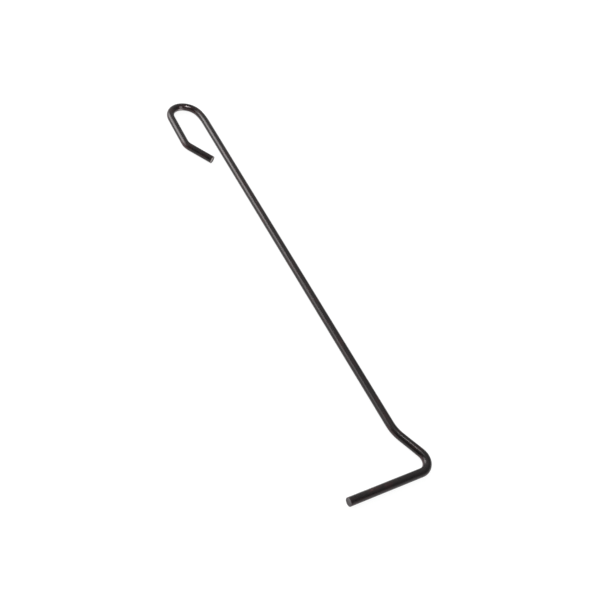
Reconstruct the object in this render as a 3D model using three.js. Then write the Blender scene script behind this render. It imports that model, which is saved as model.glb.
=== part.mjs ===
// A hook rod for tents and awnings, bent cold from one length of round steel wire.
// From end to end it has a straight cross leg, an elbow, a short offset leg, a kink back into line,
// a long straight shaft, a gentle lead-in to a round hook bow, a return leg beside the shaft, and a tip
// that is turned in towards the shaft so that a line or ring can't slip out.
// Every bend lies in one plane, and the rod lies flat on that plane.
//
// Frame: millimetres, +Z up. The rod rests on Z = 0, its shaft runs along X with the hook at the +X end,
// and both the return leg and the cross leg are on the shaft's +Y side. The origin is at the middle
// of the rod's footprint, on the surface that it lies on.

import * as THREE from "three";

// Driving dimensions: lengths of the straight stretches, and each bend's angle and centreline radius.
const WIRE_DIAMETER = 5.4;
const CROSS_LEG_LENGTH = 52;
const ELBOW = { degrees: 115, radius: 7.8 };
const OFFSET_LEG_LENGTH = 15.2;
const KINK = { degrees: -25, radius: 22 };
const SHAFT_LENGTH = 276.7;
const LEAD_IN = { degrees: 14, radius: 41.5 };
const BOW = { degrees: 165, radius: 11.9 };
const RETURN_LEG_LENGTH = 26.7;
const TIP_BEND = { degrees: 36, radius: 8 };
const TIP_LENGTH = 20;

// The cross leg's free end faces +Y, so the route starts out towards -Y. Left turns are positive.
const FIRST_HEADING_DEGREES = -90;
const ROUTE = [
  { length: CROSS_LEG_LENGTH },
  ELBOW,
  { length: OFFSET_LEG_LENGTH },
  KINK,
  { length: SHAFT_LENGTH },
  LEAD_IN,
  BOW,
  { length: RETURN_LEG_LENGTH },
  TIP_BEND,
  { length: TIP_LENGTH },
];

// Facets: the sides of the wire's section, and about how far it turns between two rings of a bend.
// This makes 25 steps round the bow, so that one facet lies square across its inner crest.
const SECTION_SIDES = 24;
const DEGREES_PER_RING = 6.6;

// One ring of the wire: a centreline point, and the direction in which the wire runs through it.
function ring(point, heading) {
  return {
    point: new THREE.Vector3(point.x, point.y, 0),
    tangent: new THREE.Vector3(Math.cos(heading), Math.sin(heading), 0),
  };
}

// Follows the route in the XY plane, with a ring at each end of a straight and evenly round each bend.
function ringsAlong(route) {
  let point = new THREE.Vector2();
  let heading = THREE.MathUtils.degToRad(FIRST_HEADING_DEGREES);
  const rings = [ring(point, heading)];

  for (const { length, degrees, radius } of route) {
    if (length) {
      const step = new THREE.Vector2(Math.cos(heading), Math.sin(heading));
      point = point.clone().addScaledVector(step, length);
      rings.push(ring(point, heading));
      continue;
    }
    const side = Math.sign(degrees);
    const centre = new THREE.Vector2(
      point.x - side * radius * Math.sin(heading),
      point.y + side * radius * Math.cos(heading),
    );
    const start = heading;
    const turn = THREE.MathUtils.degToRad(degrees);
    const count = Math.round(Math.abs(degrees) / DEGREES_PER_RING);
    for (let i = 1; i <= count; i++) {
      heading = start + (turn * i) / count;
      point = new THREE.Vector2(
        centre.x + side * radius * Math.sin(heading),
        centre.y - side * radius * Math.cos(heading),
      );
      rings.push(ring(point, heading));
    }
  }
  return rings;
}

// The wire's centreline as a three.js curve. Each step along it goes from one ring to the next,
// so a long straight takes one step and a bend takes several.
class WireLine extends THREE.Curve {
  constructor(rings) {
    super();
    this.rings = rings;
  }

  get steps() {
    return this.rings.length - 1;
  }

  at(u) {
    return this.rings[Math.round(u * this.steps)];
  }

  getPointAt(u, target = new THREE.Vector3()) {
    return target.copy(this.at(u).point);
  }

  getTangentAt(u, target = new THREE.Vector3()) {
    return target.copy(this.at(u).tangent);
  }
}

// The round section as an even polygon with flats on its top, bottom and sides, where it measures
// the full wire diameter across.
function wireSection() {
  const halfSide = Math.PI / SECTION_SIDES;
  const cornerRadius = WIRE_DIAMETER / 2 / Math.cos(halfSide);
  const corners = Array.from({ length: SECTION_SIDES }, (_, i) => {
    const angle = (2 * i + 1) * halfSide;
    return new THREE.Vector2(cornerRadius * Math.cos(angle), cornerRadius * Math.sin(angle));
  });
  return new THREE.Shape(corners);
}

function bentRod() {
  const line = new WireLine(ringsAlong(ROUTE));
  const geometry = new THREE.ExtrudeGeometry(wireSection(), {
    steps: line.steps,
    extrudePath: line,
  });
  const blackenedSteel = new THREE.MeshStandardMaterial({
    name: "blackened_steel",
    color: 0x262324,
    roughness: 0.38,
    metalness: 0.6,
  });
  const rod = new THREE.Mesh(geometry, blackenedSteel);
  rod.name = "bent_rod";
  return rod;
}

const part = new THREE.Group();
const rod = bentRod();
const footprint = new THREE.Box3().setFromObject(rod);
const middle = footprint.getCenter(new THREE.Vector3());
rod.position.set(-middle.x, -middle.y, -footprint.min.z);
part.add(rod);

export default part;
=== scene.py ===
"""The finished looks of a bent wire hook rod: its surface, and the studio and camera around it.

Everything is in metres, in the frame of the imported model: the rod lies flat on z = 0 with its shaft
along x, the hook at the +x end, and the hook's return leg and the cross leg on the +y side.
"""

import math

import bpy
import numpy as np
from mathutils import Matrix, Vector, noise


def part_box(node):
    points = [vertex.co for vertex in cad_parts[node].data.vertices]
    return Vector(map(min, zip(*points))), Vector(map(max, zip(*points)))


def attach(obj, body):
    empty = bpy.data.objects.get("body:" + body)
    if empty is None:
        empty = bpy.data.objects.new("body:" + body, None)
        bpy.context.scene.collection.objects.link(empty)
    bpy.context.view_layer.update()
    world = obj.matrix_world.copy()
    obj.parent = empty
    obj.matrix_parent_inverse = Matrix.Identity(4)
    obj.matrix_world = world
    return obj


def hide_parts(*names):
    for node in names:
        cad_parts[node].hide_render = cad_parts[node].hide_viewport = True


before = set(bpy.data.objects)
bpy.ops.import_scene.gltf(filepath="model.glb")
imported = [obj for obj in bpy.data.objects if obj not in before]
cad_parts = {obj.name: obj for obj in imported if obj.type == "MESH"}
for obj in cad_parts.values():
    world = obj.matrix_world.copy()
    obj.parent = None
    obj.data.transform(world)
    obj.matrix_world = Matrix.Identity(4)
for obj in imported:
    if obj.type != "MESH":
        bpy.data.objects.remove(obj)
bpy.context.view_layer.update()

MM = 0.001

# The wire's route, from the cross leg's end to the hook's tip. Left turns are positive.
WIRE_RADIUS = 2.7 * MM
CROSS_LEG_LENGTH = 52 * MM
ELBOW = {"degrees": 115, "radius": 7.8 * MM}
OFFSET_LEG_LENGTH = 15.2 * MM
KINK = {"degrees": -25, "radius": 22 * MM}
SHAFT_LENGTH = 276.7 * MM
LEAD_IN = {"degrees": 14, "radius": 41.5 * MM}
BOW = {"degrees": 165, "radius": 11.9 * MM}
RETURN_LEG_LENGTH = 26.7 * MM
TIP_BEND = {"degrees": 36, "radius": 8 * MM}
TIP_LENGTH = 20 * MM
FIRST_HEADING_DEGREES = -90
BEND_EASE = 1.5 * MM  # the length over which a straight runs into a bend

# How cold bending changes the round section where a bend is tightest.
CREST_FLATTENING = 0.01  # of the wire's radius, on the inner and outer crests
SHOULDER_SHIFT = 0.05  # of the wire's radius, from the outer shoulders to the inner ones
FORMER_FLAT_DEPTH = 0.03 * MM
FORMER_FLAT_HALF_WIDTH = math.radians(24)

# Where the bender's arm pressed the elbow wider and lower, and by how much of the wire's radius.
PRESSED_FROM_ELBOW_START = 13.3 * MM
PRESSED_HALF_LENGTH = 6.5 * MM
PRESSED_WIDENING = 0.065
PRESSED_LOWERING = 0.025

# Waves left along the wire by drawing and straightening it.
WAVE_HEIGHT = 0.02 * MM
WAVE_LENGTH = 14 * MM

# Knocks from use, and the prints of the tool that gripped the wire beside each tight bend.
KNOCK_COUNT = 60
KNOCK_SEED = 11
KNOCK_HALF_LENGTHS_MM = (0.5, 1.5)
KNOCK_HALF_WIDTHS_MM = (0.35, 0.7)
KNOCK_DEPTHS_MM = (0.02, 0.06)
PRINT_OFFSET = 2.4 * MM
PRINT_HALF_LENGTH = 0.8 * MM
PRINT_HALF_WIDTH = 1.3 * MM
PRINT_DEPTH = 0.04 * MM

# How far the finish is worn, from 0 to 1, where it wears most, and over what width.
INNER_CREST_WEAR = 0.6
INNER_CREST_HALF_WIDTH = math.radians(30)
OUTER_CREST_WEAR = 0.6
OUTER_CREST_HALF_WIDTH = math.radians(38)
DEPTH_OF_A_WORN_DENT = 0.07 * MM
END_WEAR = 0.75
END_WEAR_LENGTH = 0.5 * MM

# Where the former rubbed the bow's inner side nearly bare: each place's distance from the bow's
# start, angle, half length, half width and how far the finish is gone.
BOW_RUBS = [
    (10.2 * MM, math.radians(49), 4.0 * MM, 0.6 * MM, 1.3),
    (16.8 * MM, math.radians(36), 2.4 * MM, 1.2 * MM, 1.15),
    (17.2 * MM, math.radians(-2), 6.0 * MM, 1.2 * MM, 1.05),
]

# The sheared ends: a rim that is rolled over where the blade came in, and a burr opposite.
LEAST_RIM = 0.14 * MM
CROSS_LEG_RIM = 0.5 * MM
CROSS_LEG_BLADE_SIDE = math.radians(70)
TIP_RIM = 0.32 * MM
TIP_BLADE_SIDE = math.radians(140)
FACE_RECESS = 0.2 * MM
FRACTURE_SLOPE = 0.16 * MM
FRACTURE_ROUGHNESS = 0.07 * MM
FRACTURE_CELL = 0.6 * MM
BURR_HEIGHT = 0.11 * MM
END_MARGIN = 0.8 * MM  # between a cut face and the nearest ring of the wire's side

# Across a cut face, in wire radii towards the blade: where tearing starts, and where the burr does.
TEAR_START = 0.30
BURR_START = -0.72
EDGE_BLUR = 0.25

# Mesh density.
SIDES = 64
STRAIGHT_RING_SPACING = 0.5 * MM
BEND_RING_SPACING = 0.3 * MM
RIM_ROWS = 6
FACE_ROWS = 8
PATH_STEP = 0.05 * MM

# The camera: a 48 mm lens half a metre away, looking down at the shaft and turned on its own axis.
CAMERA_AIM = Vector((-34.14, -11.15, 2.7)) * MM
CAMERA_DISTANCE = 526.4 * MM
CAMERA_BEARING_DEGREES = 133.15
CAMERA_ELEVATION_DEGREES = 47.75
CAMERA_ROLL_DEGREES = 24.27
CAMERA_LENS_MM = 47.77


# ---------------------------------------------------------------- the wire's route


def straight(name, length):
    return {"name": name, "length": length, "turn": 0.0}


def bend(name, degrees, radius):
    turn = math.radians(degrees)
    return {"name": name, "length": abs(turn) * radius, "turn": turn}


def make_route():
    """The stretches in order, each with the distance along the wire at which it starts."""
    route = [
        straight("cross_leg", CROSS_LEG_LENGTH),
        bend("elbow", **ELBOW),
        straight("offset_leg", OFFSET_LEG_LENGTH),
        bend("kink", **KINK),
        straight("shaft", SHAFT_LENGTH),
        bend("lead_in", **LEAD_IN),
        bend("bow", **BOW),
        straight("return_leg", RETURN_LEG_LENGTH),
        bend("tip_bend", **TIP_BEND),
        straight("tip", TIP_LENGTH),
    ]
    start = 0.0
    for stretch in route:
        stretch["start"] = start
        start += stretch["length"]
    return route


ROUTE = {stretch["name"]: stretch for stretch in make_route()}
WIRE_LENGTH = sum(stretch["length"] for stretch in ROUTE.values())


def make_path(first_x, first_y):
    """The wire's middle line in small steps: distance, x, y, heading and curvature at each."""
    steps = round(WIRE_LENGTH / PATH_STEP)
    distance = np.linspace(0.0, WIRE_LENGTH, steps + 1)
    step = distance[1]
    sharp_heading = np.full(steps + 1, math.radians(FIRST_HEADING_DEGREES))
    for stretch in ROUTE.values():
        share = (distance - stretch["start"]) / stretch["length"]
        sharp_heading += stretch["turn"] * np.clip(share, 0.0, 1.0)
    ease_steps = 2 * round(BEND_EASE / step / 2) + 1
    padded = np.pad(sharp_heading, ease_steps // 2, mode="edge")
    heading = np.convolve(padded, np.ones(ease_steps) / ease_steps, mode="valid")
    curvature = np.gradient(heading, step)
    between = (heading[1:] + heading[:-1]) / 2
    x = first_x + np.concatenate([[0.0], np.cumsum(np.cos(between))]) * step
    y = first_y + np.concatenate([[0.0], np.cumsum(np.sin(between))]) * step
    return distance, x, y, heading, curvature


def ring_distances():
    """Where the rings between the two ends lie: closer together round the bends."""
    runs = []
    for stretch in ROUTE.values():
        spacing = BEND_RING_SPACING if stretch["turn"] else STRAIGHT_RING_SPACING
        count = math.ceil(stretch["length"] / spacing)
        runs.append(stretch["start"] + stretch["length"] * np.arange(count) / count)
    rings = np.concatenate(runs)
    return rings[(rings > END_MARGIN) & (rings < WIRE_LENGTH - END_MARGIN)]


# ---------------------------------------------------------------- the wire's surface
#
# A place on the wire is its distance along it and its angle round it. Angle 0 is to the left of the
# way the wire runs, and a quarter turn is straight up.


def turned_from(angle, crest):
    """How far angle is round from crest, at most half a turn."""
    return np.abs((angle - crest + math.pi) % (2 * math.pi) - math.pi)


def bend_relief(angle, curvature):
    """The change of section in the bends, which makes them a little taller and narrower."""
    tightness = np.abs(curvature) * ELBOW["radius"]
    inner = np.cos(angle) * np.sign(curvature)
    change = SHOULDER_SHIFT * inner * (1 - inner**2) - CREST_FLATTENING * inner**2
    off_crest = np.arccos(np.clip(inner, -1.0, 1.0)) / FORMER_FLAT_HALF_WIDTH
    return tightness * (WIRE_RADIUS * change - FORMER_FLAT_DEPTH * np.exp(-(off_crest**2)))


def pressed_relief(along, angle):
    lengthwise = (along - ROUTE["elbow"]["start"] - PRESSED_FROM_ELBOW_START) / PRESSED_HALF_LENGTH
    change = PRESSED_WIDENING * np.cos(angle) ** 2 - PRESSED_LOWERING * np.sin(angle) ** 2
    return WIRE_RADIUS * change * np.exp(-(lengthwise**2))


def wave_relief(along, angle):
    waves = [
        noise.noise(Vector((s / WAVE_LENGTH, math.cos(a), math.sin(a))))
        for s, a in zip(along.flat, angle.flat)
    ]
    return WAVE_HEIGHT * np.array(waves).reshape(along.shape)


def make_dents():
    """Each dent's distance along the wire, angle, half length, half width and depth."""
    rng = np.random.default_rng(KNOCK_SEED)
    dents = [
        (
            rng.uniform(0, WIRE_LENGTH),
            rng.uniform(0, 2 * math.pi),
            rng.uniform(*KNOCK_HALF_LENGTHS_MM) * MM,
            rng.uniform(*KNOCK_HALF_WIDTHS_MM) * MM,
            rng.uniform(*KNOCK_DEPTHS_MM) * MM,
        )
        for _ in range(KNOCK_COUNT)
    ]
    for first, last in (("elbow", "elbow"), ("lead_in", "bow"), ("tip_bend", "tip_bend")):
        start = ROUTE[first]["start"]
        end = ROUTE[last]["start"] + ROUTE[last]["length"]
        for distance in (start - PRINT_OFFSET, end + PRINT_OFFSET):
            dents.append((distance, math.pi, PRINT_HALF_LENGTH, PRINT_HALF_WIDTH, PRINT_DEPTH))
    return dents


def patches(along, angle, places):
    """The highest of some soft-edged patches.

    Each place is its distance along the wire, angle, half length, half width and height.
    """
    highest = np.zeros(along.shape)
    for distance, side, half_length, half_width, height in places:
        lengthwise = (along - distance) / half_length
        crosswise = turned_from(angle, side) * WIRE_RADIUS / half_width
        highest = np.maximum(highest, height * np.exp(-(lengthwise**2) - crosswise**2))
    return highest


def wear(along, angle, curvature, dents):
    """How far the finish is worn, from 0 to 1: on the bends' crests, in dents and at the ends."""
    tightness = np.abs(curvature) * ELBOW["radius"]
    inner_crest = np.where(curvature < 0, math.pi, 0.0)
    off_inner = turned_from(angle, inner_crest) / INNER_CREST_HALF_WIDTH
    off_outer = turned_from(angle, inner_crest + math.pi) / OUTER_CREST_HALF_WIDTH
    on_inner = INNER_CREST_WEAR * np.exp(-(off_inner**2))
    on_outer = OUTER_CREST_WEAR * np.exp(-(off_outer**2))
    in_bends = np.clip(tightness, 0, 1) ** 0.5 * np.maximum(on_inner, on_outer)
    in_dents = patches(along, angle, dents) / DEPTH_OF_A_WORN_DENT
    rubs = [(ROUTE["bow"]["start"] + distance, *rest) for distance, *rest in BOW_RUBS]
    in_bow = patches(along, angle, rubs)
    at_ends = END_WEAR * np.exp(-np.minimum(along, WIRE_LENGTH - along) / END_WEAR_LENGTH)
    return np.clip(np.maximum.reduce([in_bends, in_dents, in_bow, at_ends]), 0.0, 1.0)


def sheared_end(angle, blade_side, rolled_rim, drift):
    """Rows of points from the wire's side over the rim and across its cut face.

    Gives each point's distance in from the wire's end and from its middle line, and how far it is
    in the torn part, from 0 to 1. The blade came in from blade_side and rolled the rim over there.
    The side opposite broke away, and is rougher and leans in. drift picks a different stretch of
    noise for each end.
    """
    facing_blade = (1 + np.cos(angle - blade_side)) / 2
    rim = LEAST_RIM + (rolled_rim - LEAST_RIM) * facing_blade**2
    quarter = np.linspace(0, math.pi / 2, RIM_ROWS)[:, None]
    shares = np.linspace(1, 0, FACE_ROWS + 1)[1:-1, None]
    out = np.vstack([WIRE_RADIUS - rim * (1 - np.cos(quarter)), (WIRE_RADIUS - rim) * shares])
    inward = np.vstack([rim * (1 - np.sin(quarter)), np.zeros((len(shares), SIDES))])

    y = out * np.cos(angle)
    z = out * np.sin(angle)
    to_blade = (y * math.cos(blade_side) + z * math.sin(blade_side)) / WIRE_RADIUS
    torn = np.clip((TEAR_START - to_blade) / EDGE_BLUR, 0, 1)
    grain = np.array([
        noise.noise(Vector((drift, b / FRACTURE_CELL, c / FRACTURE_CELL)))
        for b, c in zip(y.flat, z.flat)
    ]).reshape(out.shape)
    on_face = np.clip((WIRE_RADIUS - out) / rim, 0, 1)
    burr = np.clip((BURR_START - to_blade) / EDGE_BLUR, 0, 1) ** 2
    face = FACE_RECESS + FRACTURE_SLOPE * torn + FRACTURE_ROUGHNESS * grain * (0.3 + torn)
    return inward + on_face * (face - (FACE_RECESS + BURR_HEIGHT) * burr), out, torn


# ---------------------------------------------------------------- the rod's mesh


def rod_rows():
    """Every row of points from one cut face to the other.

    Gives each point's place along the wire, round it and out from its middle line, and how far it
    is in the torn part of a cut face.
    """
    angle = np.arange(SIDES) * 2 * math.pi / SIDES
    first_in, first_out, first_torn = sheared_end(angle, CROSS_LEG_BLADE_SIDE, CROSS_LEG_RIM, 3.0)
    last_in, last_out, last_torn = sheared_end(angle, TIP_BLADE_SIDE, TIP_RIM, 8.0)
    rings = ring_distances()
    side = np.ones((len(rings), SIDES))
    along = np.vstack([first_in[::-1], rings[:, None] * side, WIRE_LENGTH - last_in])
    out = np.vstack([first_out[::-1], WIRE_RADIUS * side, last_out])
    torn = np.vstack([first_torn[::-1], 0 * side, last_torn])
    return along, np.broadcast_to(angle, along.shape), out, torn


def rod_faces(row_count):
    """Quads between the rows, and a fan round the middle point of each cut face."""
    faces = []
    for row in range(row_count - 1):
        for side in range(SIDES):
            after = (side + 1) % SIDES
            here = row * SIDES
            there = here + SIDES
            faces.append((here + side, here + after, there + after, there + side))
    first_middle = row_count * SIDES
    last_row = first_middle - SIDES
    for side in range(SIDES):
        after = (side + 1) % SIDES
        faces.append((first_middle, after, side))
        faces.append((last_row + side, last_row + after, first_middle + 1))
    return faces


def add_attribute(mesh, name, kind, field, values):
    attribute = mesh.attributes.new(name, kind, "POINT")
    attribute.data.foreach_set(field, np.asarray(values, dtype=np.float32).ravel())


def bent_rod_mesh():
    low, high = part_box("bent_rod")
    distance, x, y, heading, curvature = make_path(low.x + WIRE_RADIUS, high.y)
    along, angle, out, torn = rod_rows()
    dents = make_dents()
    row_curvature = np.interp(along, distance, curvature)

    relief = bend_relief(angle, row_curvature)
    relief += pressed_relief(along, angle)
    relief += wave_relief(along, angle)
    relief -= patches(along, angle, dents)
    out = out * (1 + relief / WIRE_RADIUS)
    worn = wear(along, angle, row_curvature, dents)

    # The middle point of each cut face closes its innermost row.
    middles = [(row[0:1].mean(), 0.0) for row in (along[:1], along[-1:])]
    along = np.append(along.ravel(), [middle for middle, _ in middles])
    left = np.append((out * np.cos(angle)).ravel(), [0.0, 0.0])
    up = np.append((out * np.sin(angle)).ravel(), [0.0, 0.0])
    worn = np.append(worn.ravel(), [1.0, 1.0])
    torn = np.append(torn.ravel(), [1.0, 1.0])

    facing = np.interp(along, distance, heading)
    points = np.column_stack([
        np.interp(along, distance, x) - left * np.sin(facing),
        np.interp(along, distance, y) + left * np.cos(facing),
        np.maximum(low.z + WIRE_RADIUS + up, low.z),  # it lies on a flat surface
    ])

    mesh = bpy.data.meshes.new("bent_rod_finish")
    mesh.from_pydata(points.tolist(), [], rod_faces(len(out)))
    mesh.update()
    # The place on the straight wire before it was bent, in millimetres: grain follows the wire.
    wire_place = np.column_stack([along, left, up]) / MM
    add_attribute(mesh, "wire_place", "FLOAT_VECTOR", "vector", wire_place)
    add_attribute(mesh, "worn", "FLOAT", "value", worn)
    add_attribute(mesh, "torn", "FLOAT", "value", torn)
    return mesh


def link(name, data):
    obj = bpy.data.objects.new(name, data)
    bpy.context.scene.collection.objects.link(obj)
    return obj


def make_rod():
    mesh = bent_rod_mesh()
    mesh.materials.append(blackened_steel())
    mesh.materials.append(sheared_steel())
    # The finish reaches half way round each rim, and the cut faces lie inside that.
    face_rows = RIM_ROWS + FACE_ROWS - 1
    first_side_face = (face_rows - RIM_ROWS // 2) * SIDES
    row_count = (len(mesh.vertices) - 2) // SIDES
    last_side_face = (row_count - 1) * SIDES - first_side_face
    for polygon in mesh.polygons:
        polygon.use_smooth = True
        polygon.material_index = int(not first_side_face <= polygon.index < last_side_face)
    rod = link("bent_rod_finish", mesh)
    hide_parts("bent_rod")
    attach(rod, "root")
    return rod


# ---------------------------------------------------------------- materials


class Graph:
    """The nodes of a material or of the world. Most methods add nodes and return their output."""

    def __init__(self, owner, shader_name):
        owner.use_nodes = True
        self.tree = owner.node_tree
        self.shader = self.tree.nodes[shader_name]

    def feed(self, socket, value):
        if isinstance(value, bpy.types.NodeSocket):
            self.tree.links.new(value, socket)
        else:
            socket.default_value = value

    def node(self, kind, inputs, **settings):
        node = self.tree.nodes.new(kind)
        for name, value in settings.items():
            setattr(node, name, value)
        for name, value in inputs.items():
            self.feed(node.inputs[name], value)
        return node

    def set(self, **values):
        for name, value in values.items():
            self.feed(self.shader.inputs[name.replace("_", " ")], value)

    def attribute(self, name, output):
        return self.node("ShaderNodeAttribute", {}, attribute_name=name).outputs[output]

    def place(self, per_mm):
        """The place on the unbent wire, scaled to per_mm noise cells along, and across it."""
        place = self.attribute("wire_place", "Vector")
        return self.node("ShaderNodeMapping", {"Vector": place, "Scale": per_mm}).outputs["Vector"]

    def noise(self, per_mm, detail=2.0, roughness=0.5):
        inputs = {
            "Vector": self.place(per_mm),
            "Scale": 1.0,
            "Detail": detail,
            "Roughness": roughness,
        }
        return self.node("ShaderNodeTexNoise", inputs).outputs["Fac"]

    def specks(self, per_mm, size):
        """1 in the middle of scattered specks, falling to 0 at size cells from it."""
        voronoi = self.node("ShaderNodeTexVoronoi", {"Vector": self.place(per_mm), "Scale": 1.0})
        return self.span(voronoi.outputs["Distance"], size, 0.0)

    def span(self, value, start, end, low=0.0, high=1.0, interpolation_type="LINEAR"):
        """low where value is at start, high where it is at end, and held beyond them."""
        ends = {"Value": value, "From Min": start, "From Max": end, "To Min": low, "To Max": high}
        node = self.node("ShaderNodeMapRange", ends, interpolation_type=interpolation_type)
        return node.outputs["Result"]

    def eased_span(self, value, start, end, low=0.0, high=1.0):
        return self.span(value, start, end, low, high, "SMOOTHSTEP")

    def calc(self, operation, first, second):
        node = self.node("ShaderNodeMath", {}, operation=operation)
        self.feed(node.inputs[0], first)
        self.feed(node.inputs[1], second)
        return node.outputs["Value"]

    def mix(self, share, first, second):
        """The number first where share is 0 and second where it is 1."""
        inputs = {"Factor": share, "A": first, "B": second}
        return self.node("ShaderNodeMix", inputs, data_type="FLOAT").outputs["Result"]

    def blend(self, share, first, second):
        """The colour first where share is 0 and second where it is 1."""
        inputs = {"Factor": share, "A": first, "B": second}
        return self.node("ShaderNodeMix", inputs, data_type="RGBA").outputs["Result"]

    def bump(self, height, depth):
        """Raises the surface by up to depth metres where height is 1."""
        node = self.node("ShaderNodeBump", {"Height": height, "Distance": depth})
        self.feed(self.shader.inputs["Normal"], node.outputs["Normal"])


# Colours and surface depths.
BLACK_COOL = (0.0012, 0.0015, 0.0020, 1)
BLACK_WARM = (0.0064, 0.0038, 0.0038, 1)
BLACK_RUSTY = (0.0160, 0.0050, 0.0046, 1)
FINISH_SHEEN = (1.0, 0.93, 0.93, 1)
RUST_SHOWING = (0.046, 0.013, 0.016, 1)
SCUFF_GREY = (0.075, 0.068, 0.066, 1)
RUBBED_STEEL = (0.40, 0.36, 0.36, 1)
CUT_STEEL = (0.40, 0.365, 0.355, 1)
TORN_STEEL = (0.20, 0.18, 0.178, 1)
COATED_CUT = (0.10, 0.092, 0.094, 1)
PITTED_CUT = (0.045, 0.038, 0.038, 1)
FINISH_RELIEF = 0.009 * MM
CUT_RELIEF = 0.06 * MM


def blackened_steel():
    """A satin black finish on drawn wire, rusty where it is thin and rubbed through in places."""
    material = bpy.data.materials.new("blackened_steel")
    graph = Graph(material, "Principled BSDF")
    mottle = graph.noise((0.35, 0.5, 0.5), detail=5, roughness=0.65)
    die_lines = graph.noise((0.035, 3.2, 3.2), detail=5, roughness=0.65)
    peel = graph.noise((1.6, 1.9, 1.9), detail=2)
    streaks = graph.noise((0.35, 5.0, 5.0), detail=3)
    breakup = graph.noise((1.3, 2.2, 2.2), detail=5, roughness=0.7)

    scuffed = graph.span(streaks, 0.62, 0.80)
    dust = graph.calc("MULTIPLY", graph.specks((0.9, 1.1, 1.1), 0.10), 0.5)
    grey = graph.calc("MAXIMUM", graph.calc("MULTIPLY", scuffed, 0.5), dust)
    worn = graph.attribute("worn", "Fac")
    thinned = graph.calc(
        "MULTIPLY",
        graph.span(worn, 0.1, 0.55),
        graph.span(breakup, 0.35, 0.60, 0.3, 0.9),
    )
    bared = graph.calc("ADD", worn, graph.calc("MULTIPLY", breakup, 0.9))
    bared = graph.calc("MULTIPLY", graph.span(bared, 1.08, 1.42), 0.85)

    rusty = graph.span(graph.noise((0.12, 0.25, 0.25), detail=3), 0.52, 0.70)
    colour = graph.blend(graph.span(mottle, 0.35, 0.65), BLACK_COOL, BLACK_WARM)
    colour = graph.blend(rusty, colour, BLACK_RUSTY)
    colour = graph.blend(thinned, colour, RUST_SHOWING)
    colour = graph.blend(grey, colour, SCUFF_GREY)
    colour = graph.blend(bared, colour, RUBBED_STEEL)

    roughness = graph.span(die_lines, 0.3, 0.7, 0.22, 0.33)
    roughness = graph.calc("ADD", roughness, graph.span(mottle, 0.40, 0.65, 0.0, 0.05))
    roughness = graph.calc("ADD", roughness, graph.calc("MULTIPLY", scuffed, 0.12))

    lines = graph.calc("MULTIPLY", die_lines, 0.6)
    height = graph.calc("ADD", lines, graph.calc("MULTIPLY", peel, 0.4))
    height = graph.calc("SUBTRACT", height, graph.calc("MULTIPLY", bared, 0.5))
    graph.set(
        Base_Color=colour,
        Roughness=roughness,
        Metallic=bared,
        IOR=1.45,
        Specular_Tint=FINISH_SHEEN,
    )
    graph.bump(height, FINISH_RELIEF)
    return material


def sheared_steel():
    """The bare face of a cut end: smooth where the blade slid, dark and torn where it broke."""
    material = bpy.data.materials.new("sheared_steel")
    graph = Graph(material, "Principled BSDF")
    torn = graph.attribute("torn", "Fac")
    blade_lines = graph.noise((1.0, 9.0, 0.6), detail=4, roughness=0.6)
    crystals = graph.noise((4.0, 4.5, 4.5), detail=5, roughness=0.7)
    pits = graph.noise((1.5, 1.6, 1.6), detail=5, roughness=0.7)

    along = graph.node("ShaderNodeSeparateXYZ", {"Vector": graph.attribute("wire_place", "Vector")})
    at_tip = graph.span(along.outputs["X"], 0.0, WIRE_LENGTH / MM)
    bare = graph.blend(torn, CUT_STEEL, TORN_STEEL)
    colour = graph.blend(at_tip, COATED_CUT, bare)
    colour = graph.blend(graph.span(pits, 0.54, 0.70), colour, PITTED_CUT)

    lined = graph.span(blade_lines, 0.3, 0.7, 0.34, 0.46)
    grainy = graph.span(crystals, 0.3, 0.7, 0.44, 0.62)
    roughness = graph.mix(torn, lined, grainy)
    relief = graph.calc("MULTIPLY", crystals, graph.span(torn, 0.0, 1.0, 0.15, 1.0))
    relief = graph.calc("ADD", relief, graph.calc("MULTIPLY", blade_lines, 0.3))
    relief = graph.calc("SUBTRACT", relief, graph.span(pits, 0.54, 0.70, 0.0, 0.6))
    graph.set(Base_Color=colour, Roughness=roughness, Metallic=0.9)
    graph.bump(relief, CUT_RELIEF)
    return material


# ---------------------------------------------------------------- studio


WHITE = (1, 1, 1, 1)
FLOOR_GREY = (0.18, 0.18, 0.18, 1)
FLOOR_GLOW = 0.90
FLOOR_RADIUS = 12.0
FLOOR_CORNERS = 96
HORIZON_BRIGHTNESS = 0.97

# Each light's bearing and height in degrees, its distance from where it aims, its size and how
# bright it looks.
LIGHTS = {
    "key_softbox": {
        "bearing": 33,
        "elevation": 23,
        "distance": 1.2,
        "width": 0.65,
        "height": 0.75,
        "radiance": 6.2,
    },
    "side_softbox": {
        "bearing": 58,
        "elevation": 21,
        "distance": 1.25,
        "width": 1.0,
        "height": 0.8,
        "radiance": 3.1,
    },
    "top_lamp": {
        "bearing": 90,
        "elevation": 90,
        "distance": 0.62,
        "width": 0.06,
        "height": 0.06,
        "radiance": 50.0,
        "aim": Vector((-0.175, 0.033, 0)),
    },
}


def direction_to(bearing_degrees, elevation_degrees):
    bearing = math.radians(bearing_degrees)
    elevation = math.radians(elevation_degrees)
    return Vector((
        math.cos(bearing) * math.cos(elevation),
        math.sin(bearing) * math.cos(elevation),
        math.sin(elevation),
    ))


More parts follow.
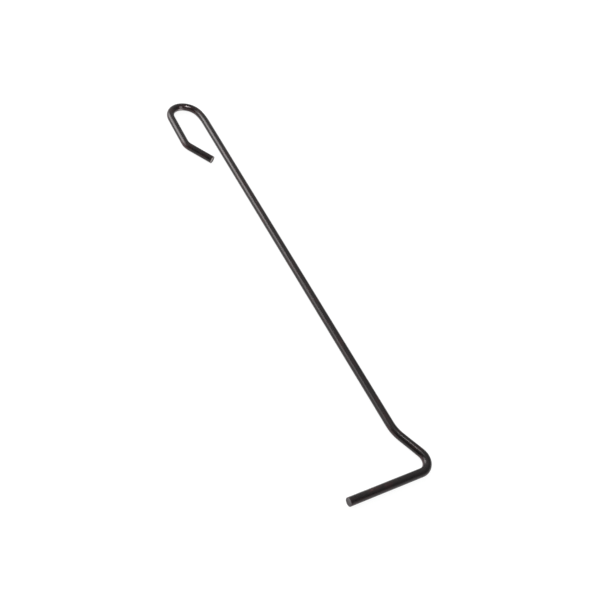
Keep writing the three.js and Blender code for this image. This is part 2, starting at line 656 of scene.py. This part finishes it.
def make_floor():
    turns = [2 * math.pi * i / FLOOR_CORNERS for i in range(FLOOR_CORNERS)]
    rim = [(FLOOR_RADIUS * math.cos(turn), FLOOR_RADIUS * math.sin(turn), 0.0) for turn in turns]
    mesh = bpy.data.meshes.new("studio_floor")
    mesh.from_pydata(rim, [], [tuple(range(FLOOR_CORNERS))])
    material = bpy.data.materials.new("pale_floor")
    Graph(material, "Principled BSDF").set(
        Base_Color=FLOOR_GREY,
        Roughness=0.9,
        Specular_IOR_Level=0.0,
        Emission_Color=WHITE,
        Emission_Strength=FLOOR_GLOW,
    )
    mesh.materials.append(material)
    link("studio_floor", mesh)


def area_lamp(name, bearing, elevation, distance, width, height, radiance, aim=Vector((0, 0, 0))):
    """A rectangular light facing aim, as bright as radiance all over."""
    light = bpy.data.lights.new(name, "AREA")
    light.shape = "RECTANGLE"
    light.size = width
    light.size_y = height
    light.energy = radiance * math.pi * width * height
    lamp = link(name, light)
    direction = direction_to(bearing, elevation)
    lamp.location = aim + direction * distance
    lamp.rotation_euler = (-direction).to_track_quat("-Z", "Y").to_euler()


def make_lights():
    for name, settings in LIGHTS.items():
        area_lamp(name, **settings)


def make_world():
    """A dim studio with a pale band all round the horizon.

    It darkens towards +y at every height. Higher up it is also darker towards -y and behind the
    cross leg.
    """
    world = bpy.data.worlds.new("studio")
    bpy.context.scene.world = world
    graph = Graph(world, "Background")
    direction = graph.node("ShaderNodeTexCoord", {}).outputs["Generated"]
    split = graph.node("ShaderNodeSeparateXYZ", {"Vector": direction}).outputs
    near_side = graph.eased_span(split["Y"], 0.1, 1.0, 0.74, 0.02)
    far_side = graph.eased_span(split["Y"], -0.3, -1.0, 0.0, 0.65)
    behind = graph.eased_span(split["X"], 0.35, -0.35, 0.0, 0.57)
    behind = graph.calc("MULTIPLY", behind, graph.eased_span(split["Y"], 0.1, -0.4))
    shade = graph.calc("MAXIMUM", far_side, behind)
    shade = graph.calc("MULTIPLY", shade, graph.eased_span(split["Z"], 0.12, 0.38))
    dim = graph.calc("MULTIPLY", near_side, graph.calc("SUBTRACT", 1.0, shade))
    low = graph.eased_span(split["Z"], 0.09, 0.02)
    graph.set(Color=WHITE, Strength=graph.mix(low, dim, HORIZON_BRIGHTNESS))


def make_camera():
    camera = link("camera", bpy.data.cameras.new("camera"))
    camera.data.lens = CAMERA_LENS_MM
    camera.data.clip_start = 0.01
    camera.data.clip_end = 50
    towards = direction_to(CAMERA_BEARING_DEGREES, CAMERA_ELEVATION_DEGREES)
    place = Matrix.Translation(CAMERA_AIM + towards * CAMERA_DISTANCE)
    upright = towards.to_track_quat("Z", "Y").to_matrix().to_4x4()
    roll = Matrix.Rotation(math.radians(CAMERA_ROLL_DEGREES), 4, "Z")
    camera.matrix_world = place @ upright @ roll
    bpy.context.scene.camera = camera


make_camera()
make_rod()
make_floor()
make_lights()
make_world()
bpy.context.scene.view_settings.view_transform = "Standard"
